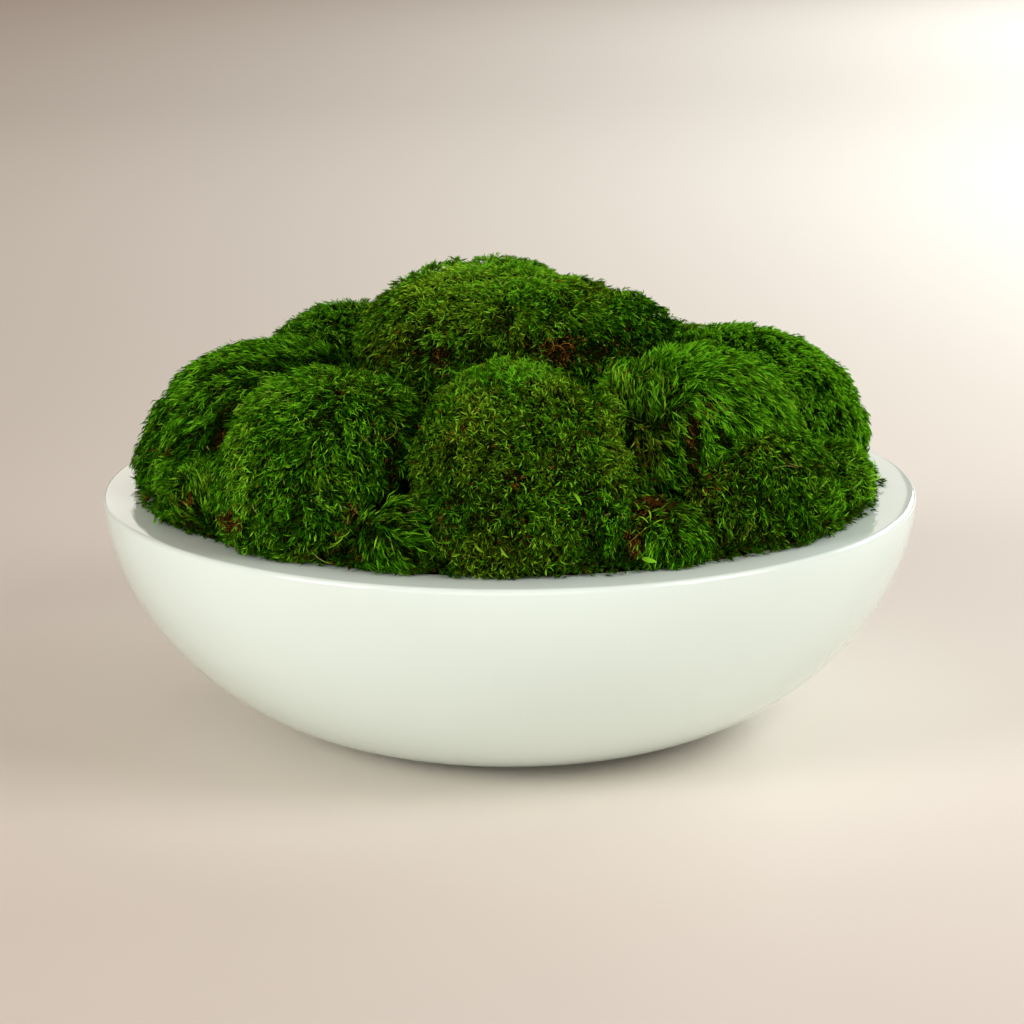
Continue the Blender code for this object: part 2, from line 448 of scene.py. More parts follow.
class Cushion:
    """A cushion's outline, how open each of its faces is and how much foliage it gets."""

    def __init__(self, node, look, index):
        self.node, self.look, self.index = node, look, index
        mesh, self.co, self.normal, self.quads = faceted(node, 2, index, 0.0)
        bpy.data.meshes.remove(mesh)
        self.corners = self.co[self.quads]
        self.middle = self.corners.mean(1)
        first, second, third, fourth = (self.corners[:, k] for k in range(4))
        cross = np.cross(third - first, fourth - second)
        self.area = np.linalg.norm(cross, axis=1) / 2
        self.facing = unit(cross)

    def weigh(self, free):
        """How much foliage each face gets: less where something lies on it."""
        self.free = free
        share = np.clip(free * OPEN_GAIN, 0, 1)
        low = self.middle[:, 2] < RIM_Z + FOOT_HEIGHT
        at_foot = low & (np.hypot(self.middle[:, 0], self.middle[:, 1]) > FOOT_INNER)
        share = np.where(at_foot & (free > 0), np.maximum(share, FOOT_SHARE), share)
        self.weight = self.area * share

    def sample(self, count):
        """Places on the surface, the way out of it there, and the faces they lie on."""
        pick = rng.choice(len(self.weight), count, p=self.weight / self.weight.sum())
        a, b = rng.random((2, count, 1))
        mix = [(1 - a) * (1 - b), a * (1 - b), a * b, (1 - a) * b]
        corners, normals = self.corners[pick], self.normal[self.quads[pick]]
        surface = sum(m * corners[:, k] for k, m in enumerate(mix))
        up = unit(sum(m * normals[:, k] for k, m in enumerate(mix)))
        return surface, up, pick


def weigh_cushions(cushions):
    """Finds for each face the share of directions in which nothing is in the way."""
    co, faces, count = [], [], 0
    for cushion in cushions:
        co.append(cushion.co - cushion.normal * RAY_LIFT)
        faces.append(cushion.quads + count)
        count += len(cushion.co)
    tree = BVHTree.FromPolygons(np.concatenate(co).tolist(), np.concatenate(faces).tolist())
    spread = []
    for k in range(OPEN_RAYS):  # a spiral over the half sphere
        z = 1 - (k + 0.5) / OPEN_RAYS * OPEN_SPREAD
        away, turn = math.sqrt(1 - z * z), k * GOLDEN
        spread.append((away * math.cos(turn), away * math.sin(turn), z))
    for cushion in cushions:
        free = np.zeros(len(cushion.middle))
        for i, (place, facing) in enumerate(zip(cushion.middle, cushion.facing)):
            if place[2] < RIM_Z + RAY_LIFT and facing[2] < -0.5:
                continue  # the underside, which stands on the rim or the soil
            axis = Vector(facing)
            side = axis.orthogonal().normalized()
            other = axis.cross(side)
            start = Vector(place) + axis * RAY_LIFT
            ways = [side * x + other * y + axis * z for x, y, z in spread]
            free[i] = sum(
                way.z >= OPEN_LOWEST and tree.ray_cast(start, way, OPEN_REACH)[0] is None
                for way in ways
            )
        cushion.weigh(free / len(spread))


# How the foliage of a cushion grows. Angles are from the way out of the surface: rise at a
# shoot's root, fall at its tip, spread of its leaves from its stem. Shoots stand in locks that
# lean alike: lock is the side of a lock and stretch how long it is for its width, pull draws its
# tips to its middle line, relief makes its edges deep, and lock_shade is painted shade that
# darkens its edges and upstream end and lightens it towards its tips. flow, fan, droop,
# sway and scatter set the way a lock lies, stray the way of each shoot, bent how crooked a blade
# is. level and hue run from 0 to 1, patch is how much both change over a cushion, litter the
# share of brown shoots and brown that of the brown leaves under them.
STYLE = dict(
    dense=1.0, length=0.0078, leaf=0.0034, width=0.0009, leaves=8, rise=42, fall=84, spread=28,
    blade=0.0058, blade_width=0.0008, blade_rise=56, blade_fall=88, bent=0.68, flow=(0, 0, 0),
    fan=0.5, droop=0.5, sway=0.8, scatter=0.3, stray=0.6, lock=0.0070, stretch=2.4, pull=0.6,
    relief=0.0024, lock_shade=0.26, level=0.56, level_spread=0.22, hue=0.34, patch=0.25, litter=0.004,
    brown=0.20,
)
STYLES = {
    "moss_top": dict(
        dense=1.1, blade=0.0066, flow=(-0.2, -0.3, 0.1), fan=0.3, sway=1.0, stray=0.9, lock=0.0060,
        stretch=1.8, lock_shade=0.24, bent=0.65, level=0.45, hue=0.48, brown=0.3, patch=0.35,
    ),
    "moss_front": dict(
        dense=1.3, length=0.0066, blade=0.0060, blade_rise=44, blade_fall=84, bent=0.85, droop=0.3,
        sway=1.0, scatter=0.4, stray=1.2, lock=0.0052, stretch=1.8, pull=0.4, relief=0.0030,
        lock_shade=0.22, level=0.48, level_spread=0.24, hue=0.52, litter=0.03, brown=0.4, patch=0.5,
    ),
    "moss_front_left": dict(
        dense=1.15, blade=0.0066, flow=(-0.6, 0, -0.3), fan=0.1, stretch=2.8, relief=0.0030,
        lock_shade=0.27, level=0.455, hue=0.28, litter=0.006,
    ),
    "moss_front_right": dict(
        dense=1.2, blade=0.0080, blade_rise=62, flow=(0.8, -0.2, -0.5), fan=0.05, sway=0.5,
        stray=0.35, stretch=3.4, relief=0.0030, lock_shade=0.30, bent=0.45, level=0.59, hue=0.18,
    ),
    "moss_front_right_lower": dict(
        dense=1.15, flow=(0.3, 0, -0.4), fan=0.2, stray=0.8, sway=1.0, bent=0.8, level=0.37,
        hue=0.36, litter=0.02, brown=0.35,
    ),
    "moss_left": dict(
        dense=1.15, blade=0.0076, blade_rise=62, blade_fall=92, flow=(-0.8, 0, -0.5), fan=0.2,
        sway=0.6, stray=0.3, lock=0.0086, stretch=3.6, pull=0.8, relief=0.0038, lock_shade=0.34,
        bent=0.5, level_spread=0.18, hue=0.20, level=0.46,
    ),
    "moss_right": dict(
        dense=1.1, length=0.0066, blade=0.0050, blade_rise=60, blade_fall=86, spread=22, bent=0.4,
        flow=(0.5, 0, -0.5), fan=0.2, scatter=0.35, stretch=2.2, relief=0.0030, lock_shade=0.36,
        level=0.96, level_spread=0.16, hue=0.08, patch=0.10, brown=0.05,
    ),
    "moss_back_left": dict(
        dense=0.95, blade=0.0056, flow=(-0.3, 0.3, 0), scatter=0.35, stretch=3.0, relief=0.0034,
        lock_shade=0.30, level=0.62, hue=0.26,
    ),
    "moss_back": dict(dense=0.9, flow=(0.0, 0.3, -0.2), stretch=3.0, relief=0.0030, lock_shade=0.28),
    "moss_back_right": dict(
        dense=0.9, flow=(0.4, 0.3, 0), scatter=0.35, stretch=3.0, relief=0.0034, lock_shade=0.30,
    ),
    "moss_upper_left": dict(length=0.0070, blade=0.0052, stray=0.7, bent=0.5, level=0.54),
    "moss_upper_back": dict(
        dense=0.9, length=0.0066, blade=0.0050, stray=0.7, bent=0.45, level=0.80,
    ),
    "moss_upper_right": dict(stray=0.7, level=0.46),
    "moss_tuft_left": dict(
        blade=0.0085, blade_rise=35, blade_fall=75, fan=0.3, droop=0.0, stray=0.3,
        flow=(-0.1, 0, 0.9), hue=0.26, bent=0.3, level=0.58,
    ),
    "moss_tuft_front_left": dict(
        blade=0.0100, blade_rise=62, blade_fall=98, fan=0.0, droop=0.3, flow=(0.9, -0.3, -0.4),
        sway=0.4, stray=0.3, stretch=4.0, bent=0.3, level=0.40,
    ),
    "moss_tuft_front_right": dict(
        blade=0.0080, blade_rise=60, blade_fall=94, fan=0.1, droop=0.9, flow=(0.1, -0.2, -0.3),
        sway=0.3, stray=0.35, stretch=3.0, level=0.50, bent=0.4,
    ),
    "moss_tuft_right": dict(flow=(0.6, 0, -0.1), fan=0.2, stray=0.7, level=0.92, hue=0.32),
    "moss_tuft_back_left": dict(level=0.52),
    "moss_tuft_back_middle": dict(dense=0.9),
    "moss_tuft_back": dict(dense=0.9),
    "moss_tuft_back_right": dict(dense=0.9),
}

# Local growth seen from the camera: middle and half sizes of an oval in the frame, then the
# share of litter, changes of level and hue, and how far the shoots are sunk. The changes of level
# are partly tone and partly painted light: lit edges of cushions painted brighter, creases darker.
MARKS = {
    "moss_front": [
        (505, 475, 45, 40, 0.03, -0.08, 0.10, 0), (588, 432, 8, 5, 0.8, 0, 0, -0.0005),
        (515, 480, 10, 8, 0.35, 0, 0, 0), (455, 440, 12, 7, 0.35, 0, 0, 0),
        (440, 520, 10, 12, 0.3, 0, 0, 0), (485, 545, 28, 12, 0.03, -0.05, 0.3, 0),
        (618, 432, 22, 38, 0, 0.16, 0.4, 0), (605, 385, 13, 11, 0, 0.28, -0.4, 0),
        (505, 366, 68, 13, 0, 0.40, -0.35, 0), (445, 385, 22, 14, 0, 0.14, 0.1, 0),
        (612, 390, 18, 24, 0, 0.32, -0.1, -0.008), (612, 528, 16, 34, 0.03, 0.12, 0, -0.009),
        (624, 490, 8, 14, 0.1, 0, 0.2, -0.003),
    ],
    "moss_front_left": [
        (394, 470, 9, 36, 0.35, -0.3, 0, 0.003), (350, 510, 15, 9, 0.9, 0.1, 0, -0.0005),
        (340, 532, 14, 8, 0.3, 0, 0, 0), (325, 555, 34, 13, 0.25, -0.05, 0.5, 0.001),
        (343, 388, 8, 5, 0.3, 0, 0.4, 0), (262, 393, 32, 16, 0, 0.26, 0.1, -0.001),
        (238, 458, 14, 46, 0, 0.27, 0.12, -0.001), (227, 518, 10, 12, 0.85, 0.05, 0, 0),
        (330, 372, 40, 8, 0, 0.18, 0.05, 0), (385, 410, 14, 25, 0.04, -0.1, 0.1, 0),
    ],
    "moss_left": [
        (222, 437, 9, 10, 0.95, 0.1, 0, -0.001), (160, 450, 12, 7, 0.3, -0.15, 0, 0),
        (197, 444, 10, 7, 0.15, -0.25, 0, 0.001), (258, 395, 20, 18, 0.05, -0.4, 0, 0.003),
        (224, 450, 12, 42, 0.08, -0.45, 0, 0.004), (306, 366, 34, 10, 0.03, -0.35, 0, 0.003),
        (150, 480, 14, 30, 0, 0.12, 0, 0), (322, 338, 32, 13, 0, 0.16, 0.05, 0),
        (180, 385, 40, 14, 0, 0.08, 0, 0),
    ],
    "moss_tuft_left": [
        (210, 492, 14, 24, 0, 0.30, 0.1, 0), (184, 503, 10, 8, 0.9, 0.1, 0, -0.0015),
        (222, 517, 12, 14, 0.9, 0.1, 0, -0.001), (185, 530, 25, 8, 0.35, 0, 0.2, 0),
        (155, 490, 20, 24, 0, -0.14, -0.1, 0.002),
    ],
    "moss_top": [
        (444, 355, 15, 10, 0.95, 0, 0, 0.0015), (561, 346, 16, 13, 0.95, 0.2, 0, 0),
        (500, 352, 150, 12, 0.12, -0.22, 0.1, 0.001), (400, 345, 40, 15, 0.05, -0.05, 0.3, 0),
        (450, 300, 55, 28, 0, 0.08, 0.15, 0), (645, 325, 35, 28, 0.02, -0.14, -0.2, 0),
        (600, 345, 40, 15, 0.15, -0.18, 0, 0), (510, 275, 60, 16, 0, 0.55, 0, 0),
        (425, 296, 30, 18, 0, 0.08, 0, 0), (642, 312, 28, 20, 0, 0.05, 0, -0.007),
        (500, 254, 8, 6, 0, 0, 0, 0.003),
    ],
    "moss_upper_right": [(640, 305, 36, 20, 0, 0.1, 0, -0.007)],
    "moss_upper_left": [(425, 275, 55, 20, 0, 0.25, 0, -0.003)],
    "moss_upper_back": [
        (478, 262, 22, 14, 0, 0.2, 0, -0.003), (545, 262, 22, 14, 0, 0.25, 0, 0.003),
    ],
    "moss_front_right": [
        (691, 425, 9, 12, 0.9, 0, 0, 0), (690, 465, 8, 38, 0.6, -0.3, 0, 0.003),
        (650, 410, 30, 45, 0.03, 0.02, 0.1, 0), (640, 376, 30, 22, 0.05, -0.15, 0.05, -0.002),
        (618, 402, 15, 26, 0.08, 0.38, 0.1, -0.007), (640, 470, 20, 24, 0.15, 0.05, 0.3, -0.003),
        (645, 445, 16, 18, 0.1, -0.05, 0.3, 0), (760, 400, 50, 30, 0, 0.1, 0, 0),
        (700, 352, 60, 9, 0, 0.2, 0, 0), (705, 400, 8, 8, 0.6, -0.1, 0, 0.001),
        (655, 480, 26, 12, 0.1, 0.1, 0.1, -0.004), (772, 372, 18, 10, 0, 0.22, 0.1, -0.001),
        (797, 394, 15, 13, 0, 0.3, 0.14, -0.001), (815, 420, 12, 18, 0, 0.34, 0.16, -0.001),
        (790, 425, 20, 20, 0, 0.1, 0.08, 0),
    ],
    "moss_front_right_lower": [
        (755, 445, 18, 8, 0.08, -0.06, 0.2, 0), (798, 428, 42, 26, 0, 0.22, -0.1, -0.001),
        (728, 470, 16, 10, 0.35, 0, 0.2, 0), (715, 448, 22, 8, 0, 0.12, 0.2, 0),
        (740, 540, 60, 10, 0.08, -0.05, 0.2, 0), (714, 518, 16, 36, 0.02, 0.12, 0, -0.005),
        (838, 500, 26, 20, 0, 0.36, -0.15, 0), (700, 488, 16, 16, 0.25, 0.1, 0.2, -0.006),
    ],
    "moss_tuft_front_right": [
        (650, 498, 23, 14, 0.95, 0.05, 0, -0.001), (633, 540, 9, 17, 0.95, 0.15, 0, -0.002),
        (675, 535, 25, 22, 0, 0.14, -0.1, 0.003), (702, 525, 12, 32, 0, -0.1, 0, -0.002),
    ],
    "moss_right": [
        (845, 420, 18, 60, 0, 0.08, 0, 0), (808, 385, 24, 16, 0, -0.04, 0, 0),
        (854, 455, 16, 24, 0, 0.3, 0.05, 0), (720, 330, 40, 10, 0, -0.1, 0, 0),
        (800, 364, 16, 10, 0, -0.2, 0, 0), (824, 390, 10, 16, 0, -0.25, 0, 0),
        (838, 422, 8, 20, 0, -0.25, 0, 0),
    ],
    "moss_tuft_front_left": [
        (349, 510, 14, 9, 0.95, 0.1, 0, 0.001), (345, 545, 14, 18, 0.25, -0.1, 0.2, 0.001),
    ],
}

# The way the foliage is combed, seen from the camera: middle and half sizes of an oval in the
# frame, then the heading (0 to the right, 90 up) and how fully it holds.
COMBS = {
    "moss_left": [
        (235, 365, 70, 24, 196, 1), (182, 415, 42, 42, 216, 1), (145, 455, 20, 44, 248, 1),
        (200, 468, 36, 26, 208, 1),
    ],
    "moss_front_left": [
        (275, 390, 45, 20, 212, 1), (237, 455, 18, 46, 245, 1), (292, 430, 38, 34, 228, 0.8),
        (352, 420, 28, 36, 285, 0.7), (325, 490, 32, 28, 322, 0.8), (250, 520, 28, 26, 235, 0.8),
    ],
    "moss_tuft_left": [
        (208, 495, 24, 30, 84, 1), (180, 520, 20, 16, 130, 0.7), (155, 490, 20, 22, 240, 1),
    ],
    "moss_tuft_front_left": [
        (380, 505, 30, 18, 345, 1), (398, 532, 24, 24, 318, 1), (372, 552, 20, 22, 295, 1),
    ],
    "moss_front": [
        (598, 398, 28, 20, 35, 0.7), (612, 430, 24, 24, 12, 0.7), (620, 468, 18, 24, 325, 0.7),
        (505, 366, 75, 16, 95, 0.8), (515, 545, 90, 30, 275, 0.6), (455, 400, 25, 30, 150, 0.5),
    ],
    "moss_front_right": [
        (695, 362, 34, 18, 300, 0.9), (755, 395, 42, 32, 302, 1), (812, 425, 24, 36, 305, 1),
        (648, 388, 30, 32, 102, 0.9),
    ],
    "moss_front_right_lower": [
        (730, 447, 32, 24, 280, 0.9), (842, 500, 26, 24, 15, 0.9), (760, 515, 50, 30, 300, 0.4),
        (798, 430, 44, 28, 304, 0.9),
    ],
    "moss_tuft_front_right": [(665, 535, 26, 28, 264, 1), (698, 530, 16, 28, 282, 1)],
    "moss_top": [(450, 300, 60, 34, 215, 0.6), (560, 290, 60, 30, 330, 0.4)],
}


def seen_at(points):
    """Pixel places of points in the camera's frame."""
    height = points[:, 2] - AIM_HEIGHT
    depth = VIEW_DISTANCE + points[:, 1] * math.cos(TILT) - height * math.sin(TILT)
    rise = points[:, 1] * math.sin(TILT) + height * math.cos(TILT)
    across = AXIS_PIXEL + FOCAL_PIXELS * points[:, 0] / depth
    return across, FRAME_PIXELS / 2 - FOCAL_PIXELS * rise / depth


def marked(cushion, surface, up, ragged):
    """Litter, level, hue and sinking that the marks on a cushion give to places on it; the level
    carries painted highlights on lit edges and painted shade in creases as well as tone.
    """
    across, down = seen_at(surface)
    sums = np.zeros((4, len(surface)))
    ahead = up @ TO_CAMERA > 0
    for x, y, half_x, half_y, *changes in MARKS.get(cushion.node, []):
        away = np.hypot((across - x) / half_x, (down - y) / half_y) + MARK_RAGGED * ragged
        sums += np.array(changes)[:, None] * (np.clip(2 * (MARK_EDGE - away), 0, 1) * ahead)[None]
    return sums


def combed(cushion, out, way):
    """The way of each lock, turned to the heading of the oval it stands in."""
    across, down = seen_at(cushion.centres)
    for x, y, half_x, half_y, heading, hold in COMBS.get(cushion.node, []):
        away = np.hypot((across - x) / half_x, (down - y) / half_y)
        near = hold * np.clip(2 * (COMB_EDGE - away), 0, 1)
        near = (near * (out @ TO_CAMERA > -0.1))[:, None]
        turn = math.radians(heading)
        way = way * (1 - near) + (RIGHT * math.cos(turn) + ABOVE * math.sin(turn)) * near
    return way


def bent_leaves(root, first, last, side, length, width, tone, low, high):
    """Leaves of two triangles: root, two points half way and the tip, as points and map places.

    first and last are the directions at root and tip, side is the way across the leaf, and
    low and high are v on the map at root and tip. The leaf is a quadratic curve.
    """
    middle = root + length[:, None] * (first * 0.375 + last * 0.125)
    half = side * (width / 2)[:, None]
    tip = root + length[:, None] * (first + last) * 0.5
    points = np.stack([root, middle - half, tip, middle + half], 1)
    u = tone[:, None] + np.array([0, -TONE_SLANT, 0, TONE_SLANT])[None]
    v = np.stack([low, (low + high) / 2, high, (low + high) / 2], 1)
    return points, np.stack([u, v], 2)


def flat_leaves(root, way, side, length, width, tone, low, high):
    """Leaves of one triangle: a short edge at the root and the tip."""
    half = side * (width / 2)[:, None]
    points = np.stack([root - half, root + half, root + length[:, None] * way], 1)
    u = tone[:, None] + np.array([-TONE_SLANT, TONE_SLANT, 0])[None]
    v = np.stack([low, low, high], 1)
    return points, np.stack([u, v], 2)


def feathers(root, first, last, length, leaf, spread, look, tone):
    """Leafy shoots: on each, leaves stand all round a bent stem and lean to its tip."""
    count, leaves = tone.shape
    each = np.arange(leaves)[None] + rng.uniform(0, 1, (count, leaves))
    s = 0.40 + 0.58 * each / leaves  # where on its stem a leaf stands, from 0 to 1
    s3 = s[:, :, None]
    curve = first[:, None] * (s3 - s3 * s3 / 2) + last[:, None] * (s3 * s3 / 2)
    stem = root[:, None] + length[:, None, None] * curve
    along = unit(first[:, None] * (1 - s3) + last[:, None] * s3)
    across = unit(np.cross(along, rng.normal(0, 1, (count, 1, 3))))
    over = np.cross(across, along)
    turn = GOLDEN * np.arange(leaves)[None] + rng.normal(0, 0.5, (count, leaves))
    out = across * np.cos(turn)[:, :, None] + over * np.sin(turn)[:, :, None]
    opening = rng.normal(0, 8, (count, leaves)) + spread[:, None] * (1.2 - 0.5 * s)
    opening = np.radians(opening)[:, :, None]
    way = along * np.cos(opening) + out * np.sin(opening)
    size = leaf[:, None] * rng.uniform(0.7, 1.3, (count, leaves)) * (1.15 - 0.3 * s)
    width = look["width"] * rng.uniform(0.75, 1.25, count * leaves)
    # Leaves low on the stem start low on v, where the leaf ramp paints more shade.
    low = 0.8 * s - 0.25
    way = unit(way + 0.35 * last[:, None] + rng.normal(0, 0.1, (count, leaves, 3)))
    side = unit(np.cross(way, rng.normal(0, 1, (count, leaves, 3))))
    stem, way, side = (x.reshape(-1, 3) for x in (stem, way, side))
    size, tone, low = (x.ravel() for x in (size, tone, low))
    return flat_leaves(stem, way, side, size, width, tone, low, low + 0.45)


def leaf_mesh(name, parts):
    """One mesh of leaves from points and map places; leaves of four points are two triangles."""
    co, places, faces, start = [], [], [], 0
    for points, where in parts:
        count, each = points.shape[:2]
        first = start + (np.arange(count) * each)[:, None]
        corners = [(0, 1, 2)] if each == 3 else [(0, 1, 3), (1, 2, 3)]
        for corner in corners:
            loops = first + np.array(corner)[None]
            faces.append(loops)
            places.append(where.reshape(-1, 2)[loops.ravel() - start])
        co.append(points.reshape(-1, 3))
        start += count * each
    loops = np.concatenate(faces)
    mesh = bpy.data.meshes.new(name)
    mesh.vertices.add(start)
    mesh.vertices.foreach_set("co", np.concatenate(co).astype(np.float32).ravel())
    mesh.loops.add(loops.size)
    mesh.loops.foreach_set("vertex_index", loops.astype(np.int32).ravel())
    mesh.polygons.add(len(loops))
    mesh.polygons.foreach_set("loop_start", (np.arange(len(loops)) * 3).astype(np.int32))
    mesh.update(calc_edges=True)
    layer = mesh.uv_layers.new(name="OFBake")
    layer.uv.foreach_set("vector", np.concatenate(places).astype(np.float32).ravel())
    mesh.shade_smooth()
    return mesh


def settle(points):
    """Leaves don't sink into the rim: they lie down on it."""
    away = np.hypot(points[..., 0], points[..., 1])
    on_rim = (away < RIM_RADIUS) & (points[..., 2] < RIM_Z + RIM_CLEARANCE)
    lying = RIM_Z + LIE_HEIGHT + RIM_CLEARANCE * rng.random(points.shape[:2])
    points[..., 2] = np.where(on_rim, lying, points[..., 2])
    return points


def tone_of(level, hue):
    """u on the palette for a brightness and a hue, both held between 0 and 1."""
    kind = (np.clip(hue, 0, 0.999) * len(HUE_STARTS)).astype(int)
    return np.array(HUE_STARTS)[kind] + HUE_WIDTH * np.clip(level, 0, 1)


def patches(points, scale, seed):
    return noise_at(points, scale, seed, PATCH_SHIFT)


def drift(points, scale, seed):
    """A direction at each place that changes smoothly over the surface."""
    shift = Vector((seed, DRIFT_SHIFT, 0))
    return np.array([noise.noise_vector(Vector(p) * scale + shift) for p in points])


def tangent(way, up):
    return way - up * (way * up).sum(1, keepdims=True)


def plant_locks(cushion):
    """The middles of a cushion's locks of foliage, the way each lies and how it differs."""
    look = cushion.look
    count = max(6, int(cushion.weight.sum() / look["lock"] ** 2))
    cushion.centres, out, _ = cushion.sample(count)
    low, high = (np.array(corner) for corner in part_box(cushion.node))
    outward = (cushion.centres - (low + high) / 2) / ((high - low) / 2)
    way = np.array(look["flow"]) + look["droop"] * DOWN + look["fan"] * outward
    way += look["sway"] * drift(cushion.centres, SWAY_SCALE, cushion.index)
    way = combed(cushion, out, way) + look["scatter"] * rng.normal(0, 1, (count, 3))
    cushion.ways = tangent(way, out)
    cushion.differs = rng.normal(0, 1, (4, count))


class Bed:
    """Places for foliage on a cushion: how it leans there, how deep it stands and its colour."""

    def __init__(self, cushion, count):
        look = cushion.look
        self.surface, self.up, pick = cushion.sample(count)
        fine = patches(self.surface, FINE_SCALE, cushion.index + FINE_SEED)
        patch = patches(self.surface, PATCH_SCALE, cushion.index)
        hue_patch = patches(self.surface, PATCH_SCALE, cushion.index + HUE_SEED)
        self.litter, tone_and_painted_light_mark, hue_mark, sunk = marked(cushion, self.surface, self.up, fine)
        free = cushion.free[pick]
        creased = np.clip(CREASED - free, 0, 1) / CREASED

        # The lock a place belongs to is the nearest one, with locks long along their way
        squeeze = 1 - look["stretch"] ** -2
        lock = np.empty(count, int)
        for start in range(0, count, LOCKS_AT_ONCE):
            some = slice(start, start + LOCKS_AT_ONCE)
            gap = self.surface[some, None] - cushion.centres[None]
            along = (gap * unit(cushion.ways)[None]).sum(2)
            lock[some] = ((gap ** 2).sum(2) - squeeze * along ** 2).argmin(1)
        way, gap = cushion.ways[lock], self.surface - cushion.centres[lock]
        lock_level, lock_hue, lock_height, self.lean = cushion.differs[:, lock]

        # Where in its lock a place is: long from -1 to 1 along it, wide from 0 to 1 across it
        long = (gap * unit(way)).sum(1)
        self.across = tangent(gap - unit(way) * long[:, None], self.up)
        half_length = look["lock"] * look["stretch"] ** 0.5 / 2
        half_width = look["lock"] / look["stretch"] ** 0.5 / 2
        long = np.clip(long / half_length, -1.2, 1.2)
        wide = np.clip(np.linalg.norm(self.across, axis=1) / half_width, 0, 1.3)
        self.upright = 0.7 + 0.3 * np.clip(np.linalg.norm(way, axis=1) / 0.6, 0, 1)
        strayed = unit(way) + look["stray"] * rng.normal(0, 0.6, (count, 3))
        self.heading = unit(tangent(strayed, self.up))
        relief = 0.8 * wide ** 3 + 0.5 * np.clip(-long, -0.3, 1.2) - 0.3 * lock_height
        self.lie = look["relief"] * relief + sunk

        # Painted light and shade: darker where less of the way out of a face is open, lighter where
        # the surface faces up.
        self.level = look["level"] + 0.2 * (free - 0.6) + 0.12 * (self.up[:, 2] - 0.3)
        self.level += 0.3 * look["patch"] * patch
        # Painted shade in each lock: darker at its edges and upstream end, lighter towards its
        # downstream end.
        self.level += look["lock_shade"] * (0.6 * long - 0.8 * wide ** 2 + 0.3) + 0.06 * lock_level
        # Creases get painted shade, and the marks bring painted highlights and shade along with
        # changes of tone.
        self.level += 0.06 * fine + tone_and_painted_light_mark - 0.3 * creased
        self.hue = look["hue"] + look["patch"] * hue_patch + 0.08 * lock_hue + hue_mark
        self.brown = rng.random(count) < look["litter"] + 0.15 * creased + self.litter

    def leans(self, look, rise, fall, length):
        """Directions of shoots or blades at their roots and tips."""
        rise = rise * self.upright + rng.normal(0, 8, len(length))
        fall = fall * self.upright + 6 * self.lean + rng.normal(0, 10, len(length))
        rise, fall = np.radians(rise)[:, None], np.radians(fall)[:, None]
        first = self.up * np.cos(rise) + self.heading * np.sin(rise)
        last = self.up * np.cos(fall) + self.heading * np.sin(fall)
        return first, unit(last - 2 * look["pull"] * self.across / length[:, None])


def stands(rise, fall, length):
    """How high the tip of a shoot or blade stands over its root."""
    return length * (math.cos(math.radians(rise)) + math.cos(math.radians(fall))) / 2


def shoots(cushion, count):
    look, bed = cushion.look, Bed(cushion, count)
    length = look["length"] * rng.uniform(0.85, 1.1, count) * np.where(bed.litter > 0.5, 0.7, 1)
    first, last = bed.leans(look, look["rise"], look["fall"], length)
    depth = stands(look["rise"], look["fall"], look["length"]) - REACH
    root = bed.surface - bed.up * (depth + bed.lie + rng.uniform(0, 0.0008, count))[:, None]
    each = (count, look["leaves"])
    # Shoots stand under the blades and are painted darker than them, as shade that falls under the
    # blades.
    level = (bed.level - 0.27 + rng.normal(0, 0.05, count))[:, None]
    level = level + rng.normal(0, look["level_spread"], each)
    tone = tone_of(level, bed.hue[:, None] + rng.normal(0, 0.18, each))
    brown = bed.brown
    jitter = (brown.sum(), each[1])
    tone[brown] = rng.uniform(*RUST_TONES, (brown.sum(), 1)) + rng.normal(0, 0.012, jitter)
    straw = rng.random(each) < STRAW_SHARE + 0.04 * np.clip(bed.litter, 0, 1)[:, None]
    tone[straw] = rng.uniform(*STRAW_TONES, straw.sum())
    leaf = look["leaf"] * np.where(brown, 0.6, 1.0)
    spread = look["spread"] * np.where(brown, 2.0, 1.0)
    tone = np.clip(tone, *TONE_ENDS)
    points, places = feathers(root, first, last, length, leaf, spread, look, tone)
    return settle(points), places


def blades(cushion, count):
    """Single bent leaves that lie over the shoots, each of its own tone."""
    look, bed = cushion.look, Bed(cushion, count)
    length = look["blade"] * rng.uniform(0.65, 1.2, count)
    first, last = bed.leans(look, look["blade_rise"], look["blade_fall"], length)
    bends = look["bent"] * rng.normal(0, 1, (2, count, 3))
    bends -= 0.7 * (bends * bed.up[None]).sum(2, keepdims=True) * bed.up[None]
    first, last = unit(first + 0.7 * bends[0]), unit(last + bends[1])
    depth = stands(look["blade_rise"], look["blade_fall"], look["blade"])
    depth = depth + bed.lie + rng.uniform(-0.0005, 0.0016, count)
    root = bed.surface - bed.up * depth[:, None]
    side = unit(np.cross(first + last, rng.normal(0, 1, (count, 3))))
    level = bed.level + rng.normal(0.0, 1.3 * look["level_spread"], count)
    tone = tone_of(level, bed.hue + rng.normal(0, 0.2, count))
    brown = bed.brown
    tone[brown] = rng.uniform(*RUST_TONES, brown.sum())
    # A few thin whitish blades are painted highlights, glints of light on the leaves.
    painted_glint = rng.random(count) < PAINTED_GLINT_SHARE
    tone[painted_glint] = rng.uniform(*PAINTED_GLINT_TONES, painted_glint.sum())
    length = length * np.where(brown, 0.5, 1.0)
    width = look["blade_width"] * rng.uniform(0.7, 1.25, count) * np.where(painted_glint, 0.6, 1)
    tone, low = np.clip(tone, *TONE_ENDS), np.full(count, 0.25)
    points, places = bent_leaves(root, first, last, side, length, width, tone, low, low + 0.75)
    return settle(points), places


